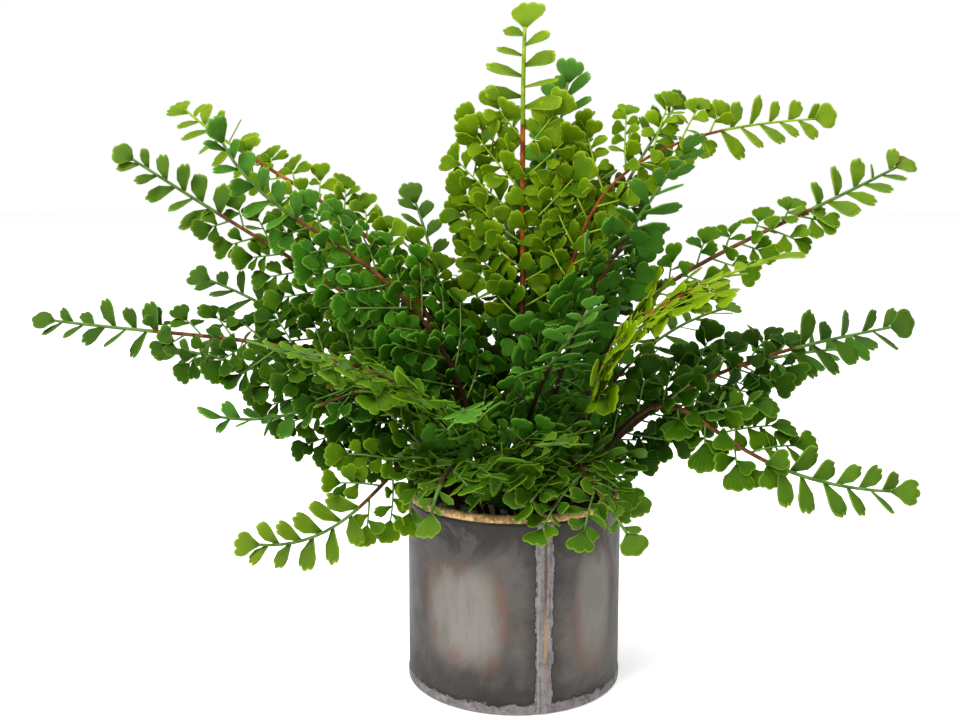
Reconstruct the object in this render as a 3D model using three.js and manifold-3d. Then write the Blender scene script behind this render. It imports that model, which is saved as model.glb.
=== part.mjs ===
// A potted maidenhair fern: a straight welded steel can with a brazed rim, potting soil, and one
// solid for each frond, whose fan-shaped leaflets are cut to the rib in thin arched blades.
// Millimetres, +Z up. The origin is the centre of the can's underside.
import * as THREE from "three";
import { mergeVertices } from "three/addons/utils/BufferGeometryUtils.js";
import Module from "manifold-3d";

const wasm = await Module();
wasm.setup();

// ---- driving dimensions ----
const GAP = 0.3; // clearance between touching pieces

const CAN = {
  radius: 60,
  wall: 2.5,
  height: 110,
  floor: 3,
  sides: 40,
  rim: 4.2, // height of the brazed band round the top edge
  rimProud: 0.25,
  footWeld: 5.5, // height of the weld that joins the floor to the wall
  footProud: 0.5,
  seamWidth: 9,
  seamProud: 0.5,
  seamHeading: 284, // degrees round from +X
  bevel: 1, // on the foot weld
  rimBevel: 0.6,
  seamOverlap: 2, // how far the seam runs down under the foot weld's top
};

const SOIL = { top: 97, edge: 93, edgeRadius: 50 };

const STEM = {
  foot: 1.3, // half width of the square stipe at its foot
  end: 1.0, // and of the rachis where the last leaflets begin
  depth: 9, // how far it stands in the soil
  run: 31, // length of one straight run
  bare: 0.25, // share of the runs that carries no leaves, if a frond gives no other
  underTip: 4, // how far it runs on under the rib of the tip
};

const BLADE = 0.8; // thickness of a leaf blade
const RIB = 0.75; // half width of the rib that the leaflets are cut to

// A fan leaflet on a rib: its axis leans `lean` degrees from the rib, its foot is `foot` wide, and
// its outer corners stand at these shares of its length and of its half spread of `spread` degrees.
const FAN = {
  lean: 52,
  spread: 30,
  foot: 2,
  heel: 0.25, // how far the start of its foot stands off the rib
  corners: [[0.86, 1], [1.06, 0.15], [0.9, -0.9]],
};
const END_FAN = [[0.72, 0.55], [1, 0.2]]; // corners along and across, in shares of its length

// The last stretch of a frond, which carries single fans: they start at `first` of a step, the
// second side is staggered, they get shorter by `narrowing` toward the end, and none is longer
// than `longest` steps, so that each stays clear of the next.
const TIP = {
  length: 72,
  leaflet: 18,
  longest: 1.12,
  end: 17,
  first: 0.4,
  spare: 0.7,
  stagger: 0.45,
  narrowing: 0.25,
  pairs: 3,
  pairsOnShort: 2,
  perPair: 20, // the least length of the stretch for each pair
};
const LONG_FROND = 175; // past this length a frond carries the full number of leaflets

// A side branch. `tilt` is how far its end may stand above or below the frond's face, as a share
// of its length, and the places of its leaflets are shares of its length too.
const PINNA = {
  length: 47,
  angle: 56, // from the rachis, in degrees
  scatter: 6,
  leaflet: 16,
  droop: 5,
  tilt: [-0.25, 0.2],
  reach: 0.95,
  forward: 0.12,
  pairAt: 0.28,
  stagger: 0.08,
  endAt: 0.6,
  end: 0.42,
};

const WAVE = { arch: [0.006, 0.016], twist: [-0.22, 0.22], phase: [0, 6], turns: 9 };

const ROOTS = { inner: 5, outer: 24, evenness: 0.9, spacing: 7.5, settling: 200 };

const TONES = {
  lime: 0x93b526,
  fresh: 0x6f9f2e,
  mid: 0x4c852c,
  deep: 0x2f6429,
  blue: 0x3f7a4e,
};

// A frond leaves the soil leaning by `lean` degrees from upright toward its heading (degrees
// round from +X), and its tip is `reach` out from the can's axis and `rise` above its underside.
// At the tip the midline climbs at `dip` degrees and has turned sideways by `swing`. `spring` and
// `sweep` say how far the first and last directions carry, as a share of the straight distance,
// and `roll` turns the blade about its own midline. `grown` makes its leaves larger, `spread`
// makes its side branches longer, `taper` is how much shorter they get toward its tip, `bare` is
// the share of its length below them, and `lop` lengthens those on its left and shortens those on
// its right. `end` is the length of its last stretch.
function frond(tone, heading, reach, rise, lean, dip, more = {}) {
  const bend = { spring: 0.42, sweep: 0.34, swing: 0, roll: 0 };
  const leaves = { grown: 1, spread: 1, taper: 0.66, bare: STEM.bare, lop: 0, end: TIP.length };
  return { tone, heading, reach, rise, lean, dip, ...bend, ...leaves, ...more };
}

const FRONDS = [
  frond("lime", 75, 24, 379, 14, 75, {
    sweep: 0.26, grown: 1.2, spread: 1.25, taper: 0.6, bare: 0.38, lop: 0.05,
  }),
  frond("blue", 65, 85, 350, 10, 60, { roll: -10, grown: 1.35 }),
  frond("lime", 8, 185, 316, 5, 2, {
    spring: 0.53, sweep: 0.66, roll: 58, spread: 0.8, taper: 0.7, bare: 0.4, lop: 0.35,
  }),
  frond("deep", 44, 152, 334, 26, 47, { spring: 0.3, sweep: 0.58, swing: -12, roll: 60 }),
  frond("blue", 330, 104, 308, 7, 54, { spring: 0.5, sweep: 0.43, swing: -8, roll: -22, grown: 1.1 }),
  frond("fresh", 1, 221, 295, 6, 26, {
    spring: 0.51, sweep: 0.6, swing: 12, roll: 50, spread: 0.52, taper: 0.25, bare: 0.5,
  }),
  frond("lime", 335, 156, 250, 30, 18, {
    spring: 0.54, sweep: 0.68, swing: 29, roll: 11, spread: 0.95, taper: 0.45, bare: 0.37, end: 56,
  }),
  frond("mid", 25, 155, 205, 22, 5, { sweep: 0.36, roll: 15, spread: 0.8 }),
  frond("deep", 357, 220, 205, 30, 12, { sweep: 0.36, roll: 50, grown: 1.12, spread: 0.85 }),
  frond("blue", 15, 225, 180, 34, 0, { roll: 40, spread: 0.75 }),
  frond("mid", 334, 218, 133, 31, 2, {
    spring: 0.85, sweep: 0.7, swing: 22, roll: 45, grown: 1.1, spread: 0.7, bare: 0.42, lop: 0.35,
  }),
  frond("mid", 298, 126, 105, 18, -44, {
    spring: 0.66, sweep: 0.55, swing: 22, roll: 4, spread: 1.1, lop: -0.3, end: 34,
  }),
  frond("mid", 248, 119, 112, 15, -70, {
    spring: 0.45, sweep: 0.5, swing: 10, grown: 0.9, spread: 1.1, end: 34,
  }),
  frond("fresh", 217, 175, 112, 26, 20, {
    spring: 0.79, sweep: 0.58, swing: -21, roll: -58, spread: 0.9,
  }),
  frond("deep", 183, 266, 208, 22, 9, { spring: 0.47, sweep: 0.56, swing: 3, roll: -50, spread: 0.85 }),
  frond("deep", 168, 220, 182, 32, -2, { spring: 0.28, sweep: 0.22, roll: -45, spread: 0.9 }),
  frond("deep", 170, 192, 228, 40, 17, { roll: -50, grown: 1.1, spread: 0.9 }),
  frond("mid", 179, 222, 301, 4, 35, { spring: 0.38, sweep: 0.62, swing: 18, roll: -60, spread: 0.9 }),
  frond("blue", 195, 161, 315, 3, 76, { spring: 0.64, sweep: 0.31, roll: -60 }),
  frond("lime", 158, 222, 329, 4, 29, {
    spring: 0.58, sweep: 0.45, swing: -24, roll: -60, spread: 0.68,
  }),
  frond("lime", 135, 115, 271, 20, 84, { grown: 0.8, spread: 0.7 }),
  frond("deep", 140, 81, 280, 38, 62, { spring: 0.36, sweep: 0.49, roll: -20, spread: 0.9 }),
  frond("blue", 290, 106, 232, 6, 48, { spring: 0.55, sweep: 0.3, grown: 0.9, spread: 0.9 }),
  frond("mid", 292, 100, 157, 10, 6, {
    spring: 0.42, sweep: 0.6, swing: 50, roll: 16, grown: 0.85, spread: 1.1, end: 40,
  }),
  frond("mid", 226, 178, 210, 14, 12, { sweep: 0.36, roll: -14, grown: 0.95, spread: 1.2, end: 52 }),
  frond("blue", 260, 135, 176, 20, -12, { swing: 30, roll: 10, grown: 0.85 }),
  frond("deep", 42, 96, 130, 28, -20, { roll: 30, end: 52 }),
  frond("blue", 194, 174, 162, 9, 24, {
    spring: 0.9, sweep: 0.54, swing: 12, roll: -15, spread: 0.65, bare: 0.35,
  }),
  frond("mid", 100, 175, 218, 24, 5),
  frond("deep", 70, 190, 200, 28, -5, { roll: -10 }),
  frond("mid", 125, 190, 180, 30, -10, { roll: 10 }),
  frond("deep", 95, 150, 130, 30, -30),
  frond("deep", 268, 96, 122, 12, -50, {
    spring: 0.5, sweep: 0.5, swing: -10, grown: 0.85, spread: 0.9, end: 40,
  }),
  frond("mid", 313, 96, 112, 16, -62, {
    spring: 0.5, sweep: 0.5, swing: 10, grown: 0.9, spread: 0.9, end: 34,
  }),
];

// ---- solids ----

// A closed three.js geometry as a solid for joining and cutting.
function solidOf(geometry) {
  const bare = geometry.index ? geometry.toNonIndexed() : geometry.clone();
  bare.deleteAttribute("normal");
  bare.deleteAttribute("uv");
  const merged = mergeVertices(bare, 1e-4);
  return new wasm.Manifold(
    new wasm.Mesh({
      numProp: 3,
      vertProperties: new Float32Array(merged.getAttribute("position").array),
      triVerts: new Uint32Array(merged.index.array),
    }),
  );
}

function geometryOf(solid) {
  const { vertProperties, triVerts } = solid.getMesh();
  return new THREE.BufferGeometry()
    .setAttribute("position", new THREE.BufferAttribute(vertProperties, 3))
    .setIndex(new THREE.BufferAttribute(triVerts, 1));
}

const vector = (x, y, z) => new THREE.Vector3(x, y, z);
const radians = THREE.MathUtils.degToRad;

// The unit direction at a heading round from +X and a climb above level.
function direction(heading, climb) {
  const level = Math.cos(radians(climb));
  const turn = radians(heading);
  return vector(level * Math.cos(turn), level * Math.sin(turn), Math.sin(radians(climb)));
}

// A round piece about +Z from a profile of [radius, height] points.
function turned(profile) {
  const points = profile.map(([radius, height]) => new THREE.Vector2(radius, height));
  return solidOf(new THREE.LatheGeometry(points, CAN.sides).rotateX(Math.PI / 2));
}

// Bends a straight geometry on to a spine. `read` gives each of its points as a share of the
// spine's length and the distances to the spine's side and out of its upper face.
function wrapped(geometry, spine, sideHint, roll, read) {
  const position = geometry.getAttribute("position");
  for (let i = 0; i < position.count; i++) {
    const flat = new THREE.Vector3().fromBufferAttribute(position, i);
    const { share, across, lift } = read(flat);
    const { side, up } = axesAt(spine, share, sideHint, roll);
    const point = spine.getPointAt(share).addScaledVector(side, across).addScaledVector(up, lift);
    position.setXYZ(i, point.x, point.y, point.z);
  }
  return solidOf(geometry);
}

// A square bar along a spine, with flat sides toward the leaves, tapering from one half width to
// another.
function bar(spine, steps, sideHint, roll, halfAtFoot, halfAtEnd) {
  const corners = [[1, 1], [-1, 1], [-1, -1], [1, -1]]; // in half widths
  const square = new THREE.Shape(corners.map((corner) => new THREE.Vector2(...corner)));
  const straight = new THREE.ExtrudeGeometry(square, { depth: 1, steps, bevelEnabled: false });
  return wrapped(straight, spine, sideHint, roll, ({ x, y, z }) => {
    const half = THREE.MathUtils.lerp(halfAtFoot, halfAtEnd, z);
    return { share: z, across: half * x, lift: half * y };
  });
}

// ---- the can ----

function makeCan() {
  const { radius, wall, height, floor, rim, footWeld, footProud, bevel } = CAN;
  const wallTop = height - rim - GAP;
  const body = turned([
    [0, 0],
    [radius - bevel, 0],
    [radius + footProud, bevel],
    [radius + footProud, footWeld - bevel],
    [radius, footWeld],
    [radius, wallTop],
    [radius - wall, wallTop],
    [radius - wall, floor],
    [0, floor],
  ]);
  // the ground-down weld seam, a shallow ridge up the wall
  const halfTurn = CAN.seamWidth / 2 / radius;
  const centre = radians(CAN.seamHeading);
  const ridge = new THREE.Shape();
  ridge.absarc(0, 0, radius + CAN.seamProud, centre - halfTurn, centre + halfTurn, false);
  ridge.absarc(0, 0, radius - wall / 2, centre + halfTurn, centre - halfTurn, true);
  const seamBottom = footWeld - CAN.seamOverlap;
  const seam = new THREE.ExtrudeGeometry(ridge, {
    depth: wallTop - seamBottom,
    bevelEnabled: false,
    curveSegments: 3,
  }).translate(0, 0, seamBottom);
  return body.add(solidOf(seam));
}

function makeRim() {
  const { radius, wall, height, rim, rimProud, rimBevel } = CAN;
  const inner = radius - wall;
  const bottom = height - rim;
  return turned([
    [inner, bottom],
    [radius + rimProud, bottom],
    [radius + rimProud, height - rimBevel],
    [radius - rimBevel, height],
    [inner, height],
    [inner, bottom],
  ]);
}

// ---- roots and midlines ----

// Where the stipes leave the soil: each on its own heading, far-reaching fronds further out, then
// pushed apart until they stand side by side.
function rootPlaces() {
  const furthest = Math.max(...FRONDS.map((frond) => frond.reach));
  const places = FRONDS.map(({ heading, reach }) => {
    const out = ROOTS.inner + ROOTS.outer * (reach / furthest) ** ROOTS.evenness;
    return new THREE.Vector2(out, 0).rotateAround(new THREE.Vector2(), radians(heading));
  });
  for (let pass = 0; pass < ROOTS.settling; pass++)
    places.forEach((here, i) =>
      places.slice(0, i).forEach((other) => {
        const apart = here.clone().sub(other);
        const short = ROOTS.spacing - apart.length();
        if (short <= 0) return;
        apart.setLength(short / 2);
        here.add(apart);
        other.sub(apart);
      }),
    );
  return places;
}

// The midline of a frond, from its foot in the soil to the end of its last leaflet.
function midlineOf(frond, place) {
  const start = direction(frond.heading, 90 - frond.lean);
  const end = direction(frond.heading + frond.swing, frond.dip);
  const collar = vector(place.x, place.y, SOIL.top);
  const tip = direction(frond.heading, 0).multiplyScalar(frond.reach).setZ(frond.rise);
  const chord = collar.distanceTo(tip);
  return new THREE.CubicBezierCurve3(
    collar.clone().addScaledVector(start, -STEM.depth),
    collar.clone().addScaledVector(start, frond.spring * chord),
    tip.clone().addScaledVector(end, -frond.sweep * chord),
    tip,
  );
}

// A part of a curve, by share of its length.
class Stretch extends THREE.Curve {
  constructor(whole, from, to) {
    super();
    Object.assign(this, { whole, from, to });
  }
  getPoint(t, target = vector(0, 0, 0)) {
    return this.whole.getPointAt(THREE.MathUtils.lerp(this.from, this.to, t), target);
  }
}

// The blade's own axes at a place on a spine: along it, to its side, and out of its upper face.
function axesAt(spine, share, sideHint, roll) {
  const along = spine.getTangentAt(share);
  const side = sideHint.clone().addScaledVector(along, -sideHint.dot(along)).normalize();
  side.applyAxisAngle(along, radians(roll));
  return { along, side, up: along.clone().cross(side) };
}

// ---- leaves ----

// Seeded draws, so that each build gives the same plant.
let seed = 20731;
function random(low, high) {
  seed = (seed * 48271) % 2147483647;
  return low + ((high - low) * seed) / 2147483647;
}

// The outline of a pinnate blade: a rib from x = 0, fan leaflets on both sides of it, and one at
// its end. Each leaflet is a wedge with three outer corners, and the blade is cut to the rib
// between them. `places` are where the leaflets spring, those of the second side `stagger` further
// on, and `lengths` is how long they are.
function pinnateOutline({ places, lengths, stagger, endAt, endLength }) {
  const corner = (x, length, [far, turn]) => {
    const angle = radians(FAN.lean + turn * FAN.spread);
    return [x + far * length * Math.cos(angle), RIB + far * length * Math.sin(angle)];
  };
  const edge = (shift) => [
    [0, RIB],
    ...places.flatMap((x, i) => [
      [x + shift, RIB + FAN.heel],
      ...FAN.corners.map((at) => corner(x + shift, lengths[i], at)),
      [x + shift + FAN.foot, RIB],
    ]),
    ...END_FAN.map(([along, across]) => [endAt + along * endLength, across * endLength]),
  ];
  const mirrored = edge(stagger).map(([x, y]) => [x, -y]);
  return [...mirrored.reverse(), ...edge(0)];
}

// A thin blade: the outline is extruded to its thickness, then wrapped on the spine, arched
// across and waved along, alike on both faces.
function makeBlade(outline, spine, sideHint, roll, wave, thickness) {
  const shape = new THREE.Shape(outline.map((corner) => new THREE.Vector2(...corner)));
  const flat = new THREE.ExtrudeGeometry(shape, { depth: thickness, bevelEnabled: false });
  const length = spine.getLength();
  return wrapped(flat, spine, sideHint, roll, ({ x, y, z }) => {
    const share = THREE.MathUtils.clamp(x / length, 0, 1);
    const waved = wave.twist * y * Math.sin(wave.phase + WAVE.turns * share);
    return { share, across: y, lift: z - thickness / 2 - wave.arch * y ** 2 + waved };
  });
}

// The settings tried in turn for a blade until one lies clear: a turn about its rib in degrees,
// and a share of its full size.
const TRIES = [1, 0.85, 0.7, 0.55, 0.45].flatMap((size) =>
  [0, 14, -14, 28, -28, 42, -42, 58, -58, 75, -75].map((turn) => ({ turn, size })),
);
const TWIST_SHARE = 0.6; // how much of that turn a side branch takes about its own rib
const LIFT_PER_TURN = 0.012; // and how far it lifts its end for each degree, as a share of length

const taken = []; // what stands already: { solid, box }

function boxOf(solid) {
  const { min, max } = solid.boundingBox();
  return new THREE.Box3(new THREE.Vector3(...min), new THREE.Vector3(...max));
}

function keep(solid) {
  taken.push({ solid, box: boxOf(solid) });
  return solid;
}

// Whether a solid lies clear of everything but the stem that carries it.
function isClear(solid, carrier) {
  const box = boxOf(solid);
  return taken.every(
    (other) =>
      other.solid === carrier ||
      !other.box.intersectsBox(box) ||
      other.solid.intersect(solid).isEmpty(),
  );
}

// The first setting whose blade, taken a little thicker, lies clear; none gives no blade.
function placeBlade(make, carrier) {
  for (const { turn, size } of TRIES) {
    if (!isClear(make(turn, size, BLADE + 2 * GAP), carrier)) continue;
    return [keep(make(turn, size, BLADE))];
  }
  return [];
}

function randomWave() {
  return { arch: random(...WAVE.arch), twist: random(...WAVE.twist), phase: random(...WAVE.phase) };
}

// The last stretch of a frond: simple leaflets on both sides, and the largest one at the end.
function makeTip(frond) {
  const { spine, tipFrom, sideHint, roll, tipPairs, rachis, grown, end } = frond;
  const stretch = new Stretch(spine, tipFrom, 1);
  const endLength = TIP.end * grown;
  const endAt = end - endLength;
  const step = endAt / (tipPairs + TIP.spare);
  const places = Array.from({ length: tipPairs }, (_, i) => (i + TIP.first) * step);
  const wave = randomWave();
  return placeBlade((turn, size, thickness) => {
    const full = size * Math.min(TIP.leaflet * grown, TIP.longest * step);
    const lengths = places.map((_, i) => full * (1 - (TIP.narrowing * i) / tipPairs));
    const outline = { places, lengths, stagger: TIP.stagger * step, endAt, endLength };
    return makeBlade(pinnateOutline(outline), stretch, sideHint, roll + turn, wave, thickness);
  }, rachis);
}

// A side branch with a pair of leaflets and an end leaflet. It springs from the middle of a
// straight run of the rachis, to the side that `hand` gives, and is shorter toward the tip.
function makePinna(frond, run, hand, zone) {
  const { stem, stemEnd, runs, sideHint, roll, rachis, grown, spread, taper, lop } = frond;
  const root = stem.getPointAt(run / runs).lerp(stem.getPointAt((run + 1) / runs), 0.5);
  const share = ((run + 0.5) / runs) * stemEnd;
  const { along, side, up } = axesAt(frond.spine, share, sideHint, roll);
  const full = PINNA.length * spread * (1 + lop * hand) * (1 - taper * zone ** 3);
  const angle = radians(PINNA.angle + random(-PINNA.scatter, PINNA.scatter));
  const out = along.clone().multiplyScalar(Math.cos(angle));
  out.addScaledVector(side, hand * Math.sin(angle));
  const tilt = random(...PINNA.tilt);
  const wave = randomWave();
  return placeBlade((turn, size, thickness) => {
    const length = full * size;
    const lift = tilt + LIFT_PER_TURN * turn;
    const middle = root.clone().addScaledVector(out, 0.5 * length);
    const end = root.clone().addScaledVector(out, PINNA.reach * length);
    end.addScaledVector(along, PINNA.forward * length);
    end.addScaledVector(up, length * lift - PINNA.droop);
    const spine = new THREE.QuadraticBezierCurve3(root, middle, end);
    const leaflet = Math.min(PINNA.leaflet * grown, 0.5 * full);
    const outline = {
      places: [PINNA.pairAt * length],
      lengths: [THREE.MathUtils.lerp(leaflet, leaflet * size, 0.25)],
      stagger: PINNA.stagger * length,
      endAt: PINNA.endAt * length,
      endLength: PINNA.end * length,
    };
    const blade = pinnateOutline(outline);
    return makeBlade(blade, spine, up.clone().cross(out), TWIST_SHARE * turn, wave, thickness);
  }, rachis);
}

// ---- fronds ----

const rootPlace = rootPlaces();
const fronds = FRONDS.map((shape, i) => {
  const spine = midlineOf(shape, rootPlace[i]);
  const length = spine.getLength();
  const tipFrom = 1 - shape.end / length;
  const stemEnd = tipFrom + STEM.underTip / length;
  const runs = Math.max(4, Math.round((stemEnd * length) / STEM.run));
  const mostPairs = length > LONG_FROND ? TIP.pairs : TIP.pairsOnShort;
  return {
    ...shape,
    name: "frond_" + String(i + 1).padStart(2, "0"),
    spine,
    tipFrom,
    stemEnd,
    stem: new Stretch(spine, 0, stemEnd),
    runs,
    tipPairs: Math.min(mostPairs, Math.floor(shape.end / TIP.perPair)),
    sideHint: direction(shape.heading + 90, 0),
  };
});

const can = keep(makeCan());
const rim = keep(makeRim());
for (const frond of fronds) {
  const { stem, runs, sideHint, roll } = frond;
  frond.rachis = keep(bar(stem, runs, sideHint, roll, STEM.foot, STEM.end));
}

// The soil, with a plain hole for the foot of each stipe.
function makeSoil() {
  const inner = CAN.radius - CAN.wall - GAP;
  const bottom = CAN.floor + GAP;
  const filling = turned([
    [0, bottom],
    [inner, bottom],
    [inner, SOIL.edge],
    [SOIL.edgeRadius, SOIL.top],
    [0, SOIL.top],
  ]);
  return fronds.reduce((soil, { stem, runs, sideHint, roll }) => {
    const foot = stem.getPointAt(0);
    const knee = stem.getPointAt(1 / runs);
    const along = knee.clone().sub(foot).normalize();
    const hole = new THREE.LineCurve3(foot.addScaledVector(along, -GAP), knee);
    return soil.subtract(bar(hole, 1, sideHint, roll, STEM.foot + GAP, STEM.foot + GAP));
  }, filling);
}
const soil = keep(makeSoil());

for (const frond of fronds) frond.leaves = makeTip(frond);
for (const [i, frond] of fronds.entries()) {
  const first = Math.max(1, Math.round(frond.bare * frond.runs));
  for (let run = first; run < frond.runs; run++) {
    const hand = (run + i) % 2 ? 1 : -1;
    const zone = (run - first) / (frond.runs - first);
    frond.leaves.push(...makePinna(frond, run, hand, zone));
  }
}

function makeFrond({ leaves, rachis }) {
  return leaves.reduce((whole, leaf) => whole.add(leaf), rachis);
}

// ---- the assembly ----

const fern = new THREE.Group();

function place(name, solid, look) {
  const mesh = new THREE.Mesh(geometryOf(solid), new THREE.MeshStandardMaterial(look));
  mesh.name = name;
  fern.add(mesh);
}

place("pot_can", can, { color: 0x6d6c6e, roughness: 0.55, metalness: 0.7 });
place("rim_braze", rim, { color: 0xb99a66, roughness: 0.6, metalness: 0.5 });
place("potting_soil", soil, { color: 0x2e261e, roughness: 1, metalness: 0 });
for (const frond of fronds)
  place(frond.name, makeFrond(frond), { color: TONES[frond.tone], roughness: 0.5, metalness: 0 });

export default fern;
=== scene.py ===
# %% [markdown]
# # A potted maidenhair fern
# This lesson dresses a fixed frame of solids as an artificial maidenhair fern: a welded steel
# can with a brazed rim, dark potting soil, and thirty-four fronds of small fan-shaped leaflets on
# brown stalks. The frame is loaded first, because every piece below takes the place of one of its
# solids and keeps its size. It is in metres, with +Z up and its origin at the centre of the can's
# underside.

# %% Load the frame
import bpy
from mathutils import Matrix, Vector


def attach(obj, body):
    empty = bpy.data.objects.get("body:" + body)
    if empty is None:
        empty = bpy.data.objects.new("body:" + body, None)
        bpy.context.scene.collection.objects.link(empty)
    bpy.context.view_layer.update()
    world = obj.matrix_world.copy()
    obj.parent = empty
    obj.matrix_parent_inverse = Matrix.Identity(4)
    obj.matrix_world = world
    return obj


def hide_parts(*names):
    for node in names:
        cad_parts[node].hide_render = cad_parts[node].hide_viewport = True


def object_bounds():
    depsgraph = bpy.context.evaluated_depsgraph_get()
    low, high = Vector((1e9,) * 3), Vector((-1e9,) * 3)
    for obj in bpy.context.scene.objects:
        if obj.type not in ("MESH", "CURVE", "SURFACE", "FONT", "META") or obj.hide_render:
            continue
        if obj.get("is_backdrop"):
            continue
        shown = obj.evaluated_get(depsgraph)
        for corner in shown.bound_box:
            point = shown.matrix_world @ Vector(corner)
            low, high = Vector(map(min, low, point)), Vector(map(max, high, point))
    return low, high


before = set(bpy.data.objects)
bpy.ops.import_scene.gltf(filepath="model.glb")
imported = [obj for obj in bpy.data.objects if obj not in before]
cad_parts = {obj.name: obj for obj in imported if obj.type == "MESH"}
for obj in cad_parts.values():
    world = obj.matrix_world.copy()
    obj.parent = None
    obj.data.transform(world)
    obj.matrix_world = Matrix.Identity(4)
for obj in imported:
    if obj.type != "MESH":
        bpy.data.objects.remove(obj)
frame_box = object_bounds()
print("frame box", [list(corner) for corner in frame_box])

# %% [markdown]
# ## What the lesson needs
# Lengths are written in millimetres and turned to metres with `MM`, so that they read as a
# maker's drawing does. Colours are written as hex values of paint and turned to the linear
# values that shaders work in. Every random draw below comes from one seeded source, so the
# plant grows the same each time.

# %% Imports and small helpers
import math
import random
from bisect import bisect
from types import SimpleNamespace

import bmesh
import bpy
from mathutils import Matrix, Vector, noise
from mathutils.geometry import interpolate_bezier

MM = 0.001
draw = random.Random(20731)


def paint(hex_value):
    """A colour as shaders read it, from its hex value."""
    channels = [(hex_value >> shift & 255) / 255 for shift in (16, 8, 0)]
    linear = [c / 12.92 if c <= 0.04045 else ((c + 0.055) / 1.055) ** 2.4 for c in channels]
    return (*linear, 1.0)


def mix(a, b, share):
    """The value that lies this share of the way from a to b."""
    return a + (b - a) * share


def smooth(low, high, value):
    """0 at `low` and past it, 1 at `high` and past it, and a smooth step between them."""
    share = min(max((value - low) / (high - low), 0.0), 1.0)
    return share * share * (3 - 2 * share)


def bumps(place, size, push):
    """Smooth noise of up to `push` either way, whose lumps are about `size` across."""
    return push * noise.noise(Vector(place) / size)


def new_object(name, data):
    """An object put in the scene."""
    made = bpy.data.objects.new(name, data)
    bpy.context.scene.collection.objects.link(made)
    return made


def new_mesh(name, shape):
    """A mesh from a bmesh, which is then freed."""
    mesh = bpy.data.meshes.new(name)
    shape.to_mesh(mesh)
    shape.free()
    return mesh


print("helpers ready")

# %% [markdown]
# ## The camera
# The plant is seen from the front and a little above the top of the can, from close by, so the
# can's rim and foot show as clear ellipses. A camera's place, tilt and lens are set here.
# The lens is shifted a little, so that the view reaches lower without a larger tilt, which would
# make the can taper.

# %% Camera
lens = bpy.data.cameras.new("camera")
lens.sensor_width = 36
lens.lens = 45.94
lens.shift_y = -0.026
lens.clip_start = 0.01
camera = new_object("camera", lens)
camera.location = (-19.4 * MM, -675 * MM, 297 * MM)
camera.rotation_euler = (math.radians(81.5), 0, 0)
bpy.context.scene.camera = camera
print("camera at", tuple(camera.location))

# %% [markdown]
# ## Floor and light
# The plant stands in a bright white studio. A white world lights it from all round, which is
# what fills the leaves with soft light, and two large area lamps give the steel its sheen and
# the leaves their brighter upper faces. A Light Path node shows the camera the full white, while
# the light that reaches the plant from the room is about half as strong, so that its darks stay
# deep. A wide floor disc, made as a circle with its face, picks up the same white. It lies a
# hair below the can, so that the two faces don't fight for the same place.

# %% Floor
FLOOR_RADIUS = 6.0
FLOOR_DROP = 0.2
FLOOR_LOOK = {
    "Base Color": (0.93, 0.93, 0.93, 1),
    "Roughness": 0.9,
    "Emission Color": (1, 1, 1, 1),
    "Emission Strength": 0.45,
}

disc = bmesh.new()
bmesh.ops.create_circle(disc, cap_ends=True, segments=96, radius=FLOOR_RADIUS)
bmesh.ops.translate(disc, verts=disc.verts, vec=(0, 0, -FLOOR_DROP * MM))
floor = new_object("studio_floor", new_mesh("studio_floor", disc))
floor_paint = bpy.data.materials.new("floor_white")
floor_paint.use_nodes = True
for name, value in FLOOR_LOOK.items():
    floor_paint.node_tree.nodes["Principled BSDF"].inputs[name].default_value = value
floor.data.materials.append(floor_paint)
floor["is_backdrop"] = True
print("floor radius", FLOOR_RADIUS, "m")

# %% Room and lamps
ROOM_LIGHT = 0.55

world = bpy.data.worlds.new("studio_white")
world.use_nodes = True
backdrop = world.node_tree.nodes["Background"]
backdrop.inputs["Color"].default_value = (1, 1, 1, 1)
seen_by = world.node_tree.nodes.new("ShaderNodeLightPath")
dimmer = world.node_tree.nodes.new("ShaderNodeMix")
dimmer.inputs["A"].default_value = ROOM_LIGHT
dimmer.inputs["B"].default_value = 1.0
world.node_tree.links.new(seen_by.outputs["Is Camera Ray"], dimmer.inputs["Factor"])
world.node_tree.links.new(dimmer.outputs["Result"], backdrop.inputs["Strength"])
bpy.context.scene.world = world
bpy.context.scene.view_settings.view_transform = "Standard"


def softbox(name, power, size, place, target=(0, 0, 0.18)):
    """A square area lamp that faces the target, in watts and metres."""
    lamp = bpy.data.lights.new(name, "AREA")
    lamp.energy = power
    lamp.size = size
    made = new_object(name, lamp)
    made.location = place
    made.rotation_euler = (Vector(target) - Vector(place)).to_track_quat("-Z", "Y").to_euler()


softbox("key_light", power=40, size=0.8, place=(-0.9, -1.1, 1.5))
softbox("top_light", power=30, size=1.0, place=(0.3, 0.1, 1.9))
print("world white, two soft lamps")

# %% [markdown]
# ## A helper for finishes
# Each finish is a small network of shader nodes. This helper adds a node, sets or links its
# inputs in one call, and names the few steps that recur: noise, a smooth step, arithmetic, a
# blend of two colours, and a coat of one colour over another where a mask lets it show. What is
# the same all over a finish is set on the shader's own input.

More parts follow.
